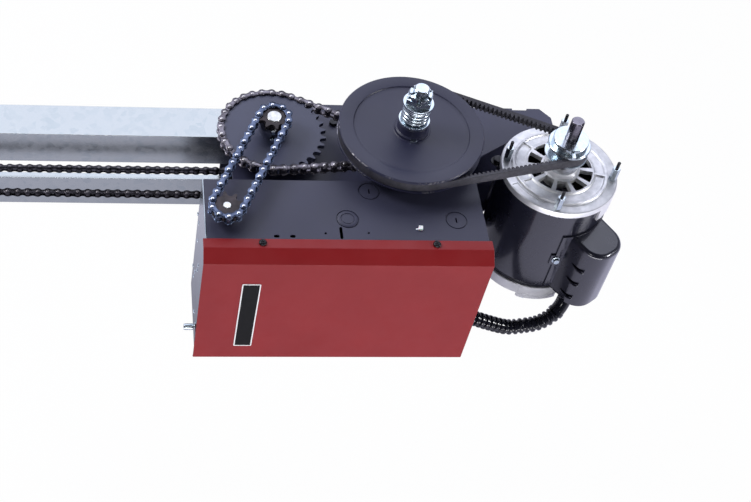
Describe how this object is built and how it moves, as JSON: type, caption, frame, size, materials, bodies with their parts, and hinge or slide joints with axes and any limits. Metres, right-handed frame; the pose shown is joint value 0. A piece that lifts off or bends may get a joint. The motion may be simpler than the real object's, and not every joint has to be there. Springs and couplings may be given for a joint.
{
  "type": "garage door opener",
  "caption": "Trolley-type door operator: frame channel with motor, belt, clutch pulley, chain reduction, limit drive, red-covered electrical box, track angles and trolley.",
  "frame": {"origin": "on the hanger face of the frame channel, straight behind the output shaft and level with the trolley chain", "axes": "+X along the track from the idler towards the motor, +Y out of the hanger face (up, once the opener hangs from the ceiling), +Z along the shafts towards the clutch pulley"},
  "size_m": [1.0106, 0.2858, 0.3433],
  "materials": {
    "black_paint": "satin powder paint",
    "dark_paint": "satin powder paint",
    "red_paint": "satin powder paint",
    "galvanised": "hot-dip galvanised",
    "zinc": "bright zinc plate",
    "oiled_steel": "oiled steel",
    "chain_steel": "oiled carbon steel",
    "blue_steel": "blued carbon steel",
    "bronze": "sintered bronze",
    "aluminium": "as cast",
    "rubber": "matt",
    "friction_fibre": "fibre",
    "circuit_board": "solder mask",
    "nylon": "natural nylon",
    "laminations": "varnished laminations"
  },
  "bodies": {
    "frame": {"output_bearing_top": "oiled_steel", "output_bearing_bottom": "oiled_steel", "clutch_bearing_top": "oiled_steel", "clutch_bearing_bottom": "oiled_steel", "limit_bushing": "bronze", "limit_switch_bracket": "galvanised", "motor_shell": "black_paint", "motor_top_bell": "aluminium", "motor_bottom_bell": "aluminium", "stator_core": "laminations", "motor_saddle": "black_paint", "through_bolt_1": "zinc", "through_bolt_2": "zinc", "through_bolt_3": "zinc", "through_bolt_4": "zinc", "capacitor_cover": "black_paint", "capacitor": "aluminium", "frame_channel": "black_paint", "upper_rail": "galvanised", "lower_rail": "galvanised", "upper_rail_bolt": "zinc", "lower_rail_bolt": "zinc", "idler_bracket": "zinc", "trolley_chain": "chain_steel", "reduction_chain": "chain_steel", "drive_belt": "rubber", "limit_chain": "blue_steel", "electrical_box": "dark_paint", "left_end_panel": "galvanised", "antenna_connector": "zinc", "box_cover": "red_paint", "cover_screw_left": "black_paint", "cover_screw_right": "black_paint", "label_plate": "black_paint", "logic_board": "circuit_board", "transformer": "laminations", "conduit": "rubber"},
    "output": {"output_shaft": "zinc", "large_sprocket": "oiled_steel", "limit_drive_sprocket": "oiled_steel", "trolley_drive_sprocket": "oiled_steel"},
    "clutch": {"clutch_shaft": "zinc", "clutch_sprocket": "oiled_steel", "clutch_backing_plate": "oiled_steel", "friction_disc": "friction_fibre", "clutch_pulley": "black_paint", "pressure_collar": "black_paint", "spring_washer_lower": "zinc", "clutch_spring": "zinc", "spring_washer_upper": "zinc", "castle_nut": "zinc", "cotter_pin": "zinc"},
    "motor": {"rotor_shaft": "zinc", "motor_pulley": "zinc"},
    "limit_screw": {"limit_shaft": "zinc", "limit_sprocket": "oiled_steel"},
    "idler": {"idler_sprocket": "oiled_steel"},
    "trolley": {"trolley_carriage": "zinc"},
    "upper_limit_nut": {"limit_nut_upper": "nylon"},
    "lower_limit_nut": {"limit_nut_lower": "nylon"}
  },
  "joints": [
    {"name": "output_turn", "type": "hinge", "parent": "frame", "child": "output", "pos_m": [0, -0.0775, 0], "axis": [0, 0, -1], "range_deg": [0, 720]},
    {"name": "clutch_turn", "type": "hinge", "parent": "frame", "child": "clutch", "pos_m": [0.166, -0.1072, 0], "axis": [0, 0, -1], "range_deg": [0, 2560.1]},
    {"name": "motor_turn", "type": "hinge", "parent": "frame", "child": "motor", "pos_m": [0.3614, -0.1275, 0], "axis": [0, 0, -1], "range_deg": [0, 10146]},
    {"name": "limit_turn", "type": "hinge", "parent": "frame", "child": "limit_screw", "pos_m": [-0.06659, -0.22161, 0], "axis": [0, 0, -1], "range_deg": [0, 720.1]},
    {"name": "idler_turn", "type": "hinge", "parent": "frame", "child": "idler", "pos_m": [-0.52, -0.0775, 0], "axis": [0, 0, -1], "range_deg": [0, 720.1]},
    {"name": "trolley_slide", "type": "slide", "parent": "frame", "child": "trolley", "axis": [1, 0, 0], "range_m": [0, 0.2541]},
    {"name": "upper_nut_slide", "type": "slide", "parent": "frame", "child": "upper_limit_nut", "axis": [0, 0, 1], "range_m": [0, 0.0032]},
    {"name": "lower_nut_slide", "type": "slide", "parent": "frame", "child": "lower_limit_nut", "axis": [0, 0, 1], "range_m": [0, 0.0032]}
  ],
  "couplings": [
    {"joint": "clutch_turn", "follows": "output_turn", "ratio": 3.5556},
    {"joint": "motor_turn", "follows": "output_turn", "ratio": 14.09},
    {"joint": "limit_turn", "follows": "output_turn", "ratio": 1},
    {"joint": "idler_turn", "follows": "output_turn", "ratio": 1},
    {"joint": "trolley_slide", "follows": "output_turn", "m_per_rad": 0.020213},
    {"joint": "upper_nut_slide", "follows": "output_turn", "m_per_rad": 0.00025266},
    {"joint": "lower_nut_slide", "follows": "output_turn", "m_per_rad": 0.00025266}
  ]
}
